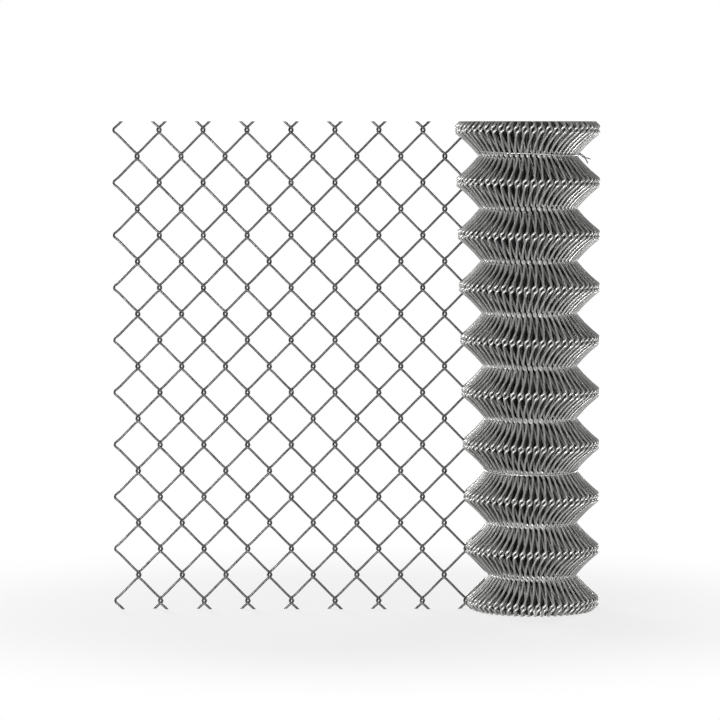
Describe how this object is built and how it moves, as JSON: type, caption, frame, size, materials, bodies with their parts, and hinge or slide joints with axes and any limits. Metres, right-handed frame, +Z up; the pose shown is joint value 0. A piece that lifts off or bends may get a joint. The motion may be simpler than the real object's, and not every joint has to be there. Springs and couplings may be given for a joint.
{
  "type": "partly unrolled roll of chain-link fence mesh",
  "caption": "Galvanised chain-link fence mesh: a flat stretch of hooked spiral wires running into an upright, folded compact roll held by tie wires.",
  "frame": {"origin": "bottom centre of the whole object's box, on the floor that the cut wire ends stand on", "axes": "+Z up along the roll, +X from the flat stretch's free edge towards the roll, -Y towards the side the picture shows"},
  "size_m": [0.7325, 0.2186, 0.7274],
  "materials": {
    "mesh_wire": "hot-dip galvanised, dull with bright streaks",
    "tie_wire": "galvanised, smooth"
  },
  "bodies": {
    "root": {"mesh_wire_01": "mesh_wire", "mesh_wire_02": "mesh_wire", "mesh_wire_03": "mesh_wire", "mesh_wire_04": "mesh_wire", "mesh_wire_05": "mesh_wire", "mesh_wire_06": "mesh_wire", "mesh_wire_07": "mesh_wire", "mesh_wire_08": "mesh_wire", "mesh_wire_09": "mesh_wire", "mesh_wire_10": "mesh_wire", "mesh_wire_11": "mesh_wire", "mesh_wire_12": "mesh_wire", "mesh_wire_13": "mesh_wire", "mesh_wire_14": "mesh_wire", "mesh_wire_15": "mesh_wire", "mesh_wire_16": "mesh_wire", "roll_entry_wire": "mesh_wire", "roll_inner_laps_1": "mesh_wire", "roll_inner_laps_2": "mesh_wire", "roll_inner_laps_3": "mesh_wire", "roll_inner_laps_4": "mesh_wire", "roll_inner_laps_5": "mesh_wire", "roll_inner_laps_6": "mesh_wire", "roll_outer_lap_1": "mesh_wire", "roll_outer_lap_2": "mesh_wire", "roll_outer_lap_3": "mesh_wire", "roll_outer_lap_4": "mesh_wire", "roll_outer_lap_5": "mesh_wire", "roll_outer_lap_6": "mesh_wire", "tie_wire_lower": "tie_wire", "tie_wire_upper": "tie_wire"}
  },
  "joints": []
}
